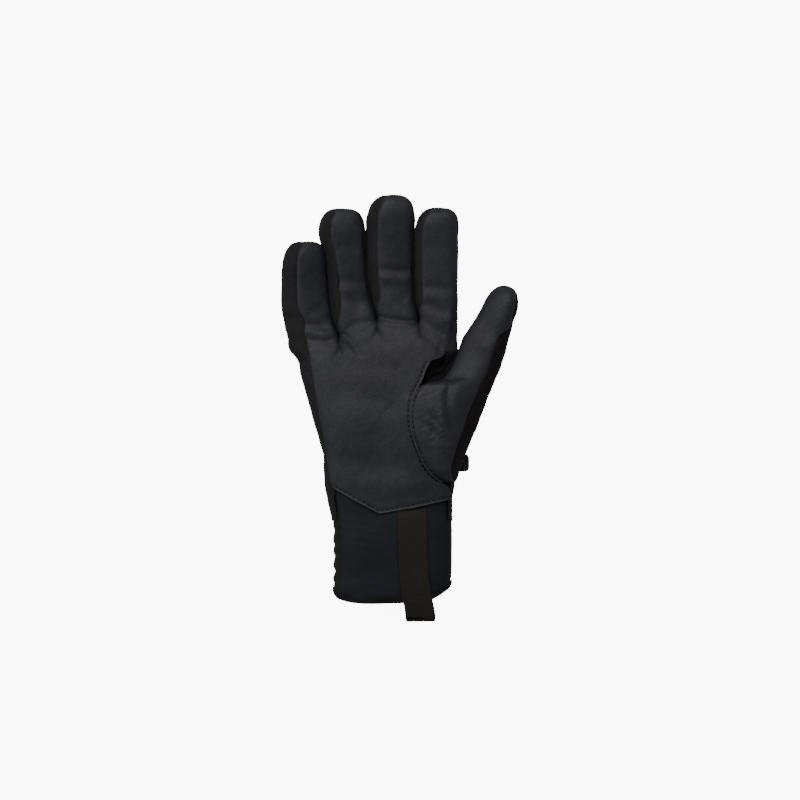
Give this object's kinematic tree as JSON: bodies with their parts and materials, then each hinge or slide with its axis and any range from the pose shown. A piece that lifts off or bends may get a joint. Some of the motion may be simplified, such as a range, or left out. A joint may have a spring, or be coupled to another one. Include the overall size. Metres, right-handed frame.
{
  "type": "ski glove",
  "caption": "Right-hand insulated ski glove with leather palm, woven back, neoprene cuff with a webbing pull loop, and a wrist strap; every finger, the thumb and the wrist fold.",
  "frame": {"origin": "on the flat part of the back of the hand that the glove lies on, under the middle of the palm", "axes": "+X towards the thumb side, +Y towards the fingertips, +Z out of the palm"},
  "size_m": [0.1518, 0.276, 0.0377],
  "materials": {
    "leather": "matt full-grain leather with fine creases",
    "shell_fabric": "matt woven softshell",
    "suede_fabric": "brushed brown-black microsuede",
    "neoprene": "smooth-faced neoprene with a knitted cover",
    "webbing": "flat woven webbing",
    "waterproof_membrane": "thin waterproof membrane",
    "padding": "lofted insulation with a brushed lining",
    "fleece": "brushed fleece",
    "fastening_tape": "hook-and-loop tape",
    "moulded_tab": "satin moulded rubber",
    "label": "blank woven label"
  },
  "bodies": {
    "hand": {"palm_panel": "leather", "back_panel": "shell_fabric", "index_thumb_gusset": "leather", "waterproof_insert": "waterproof_membrane", "palm_insulation": "padding", "back_insulation": "padding", "hand_lining": "fleece", "loop_tape": "fastening_tape"},
    "strap": {"wrist_strap": "webbing", "hook_tape": "fastening_tape", "strap_tab": "moulded_tab"},
    "cuff": {"cuff_neoprene": "neoprene", "cuff_back_panel": "shell_fabric", "cuff_lining": "fleece", "hem_binding": "webbing", "size_label": "label", "pull_strap": "webbing"},
    "pull_loop": {"pull_loop": "webbing"},
    "thumb_base": {"thumb_base_front": "leather", "thumb_base_back": "suede_fabric", "thumb_base_padding": "padding"},
    "thumb_tip": {"thumb_tip_front": "leather", "thumb_tip_back": "suede_fabric", "thumb_tip_padding": "padding"},
    "little_base": {"little_base_front": "leather", "little_base_back": "shell_fabric", "little_base_inner_wall": "shell_fabric", "little_base_padding": "padding"},
    "little_tip": {"little_tip_front": "leather", "little_tip_back": "shell_fabric", "little_tip_inner_wall": "shell_fabric", "little_tip_padding": "padding"},
    "ring_base": {"ring_base_front": "leather", "ring_base_back": "shell_fabric", "ring_base_inner_wall": "shell_fabric", "ring_base_outer_wall": "shell_fabric", "ring_base_padding": "padding"},
    "ring_tip": {"ring_tip_front": "leather", "ring_tip_back": "shell_fabric", "ring_tip_inner_wall": "shell_fabric", "ring_tip_outer_wall": "shell_fabric", "ring_tip_padding": "padding"},
    "middle_base": {"middle_base_front": "leather", "middle_base_back": "shell_fabric", "middle_base_inner_wall": "shell_fabric", "middle_base_outer_wall": "shell_fabric", "middle_base_padding": "padding"},
    "middle_tip": {"middle_tip_front": "leather", "middle_tip_back": "shell_fabric", "middle_tip_inner_wall": "shell_fabric", "middle_tip_outer_wall": "shell_fabric", "middle_tip_padding": "padding"},
    "index_base": {"index_base_front": "leather", "index_base_back": "shell_fabric", "index_base_outer_wall": "shell_fabric", "index_base_padding": "padding"},
    "index_tip": {"index_tip_front": "leather", "index_tip_back": "shell_fabric", "index_tip_outer_wall": "shell_fabric", "index_tip_padding": "padding"}
  },
  "joints": [
    {"name": "index_knuckle", "type": "hinge", "parent": "hand", "child": "index_base", "pos_m": [0.03594, 0.0698, 0.01518], "axis": [0.9948, 0.0521, -0.0872], "range_deg": [0, 60]},
    {"name": "index_middle", "type": "hinge", "parent": "index_base", "child": "index_tip", "pos_m": [0.03581, 0.0948, 0.01697], "axis": [0.9948, 0.0521, -0.0872], "range_deg": [0, 75]},
    {"name": "middle_knuckle", "type": "hinge", "parent": "hand", "child": "middle_base", "pos_m": [0.00911, 0.07118, 0.01517], "axis": [0.9948, 0.0521, -0.0872], "range_deg": [0, 60]},
    {"name": "middle_middle", "type": "hinge", "parent": "middle_base", "child": "middle_tip", "pos_m": [0.00765, 0.09814, 0.01708], "axis": [0.9948, 0.0521, -0.0872], "range_deg": [0, 75]},
    {"name": "ring_knuckle", "type": "hinge", "parent": "hand", "child": "ring_base", "pos_m": [-0.01798, 0.06541, 0.01516], "axis": [0.9948, 0.0521, -0.0872], "range_deg": [0, 60]},
    {"name": "ring_middle", "type": "hinge", "parent": "ring_base", "child": "ring_tip", "pos_m": [-0.02124, 0.09121, 0.01685], "axis": [0.9948, 0.0521, -0.0872], "range_deg": [0, 75]},
    {"name": "little_knuckle", "type": "hinge", "parent": "hand", "child": "little_base", "pos_m": [-0.04649, 0.05346, 0.01512], "axis": [0.9948, 0.0521, -0.0872], "range_deg": [0, 60]},
    {"name": "little_middle", "type": "hinge", "parent": "little_base", "child": "little_tip", "pos_m": [-0.04868, 0.07535, 0.01636], "axis": [0.9948, 0.0521, -0.0872], "range_deg": [0, 75]},
    {"name": "thumb_swing", "type": "hinge", "parent": "hand", "child": "thumb_base", "pos_m": [0.036, -0.008, 0.016], "axis": [-0.1994, -0.9799, 0], "range_deg": [0, 28]},
    {"name": "thumb_end", "type": "hinge", "parent": "thumb_base", "child": "thumb_tip", "pos_m": [0.06748, 0.04853, 0.01934], "axis": [0.8553, -0.3214, 0.4064], "range_deg": [0, 20]},
    {"name": "wrist", "type": "hinge", "parent": "hand", "child": "cuff", "pos_m": [0, -0.058, 0.017], "axis": [-1, 0, 0], "range_deg": [0, 35]},
    {"name": "pull_loop_turn", "type": "hinge", "parent": "cuff", "child": "pull_loop", "pos_m": [0.0242, -0.1245, 0.0322], "axis": [-1, 0, 0], "range_deg": [-30, 45]},
    {"name": "wrist_strap_peel", "type": "hinge", "parent": "hand", "child": "strap", "pos_m": [-0.03, -0.0345, 0.0015], "axis": [0, 1, 0], "range_deg": [0, 70]}
  ]
}
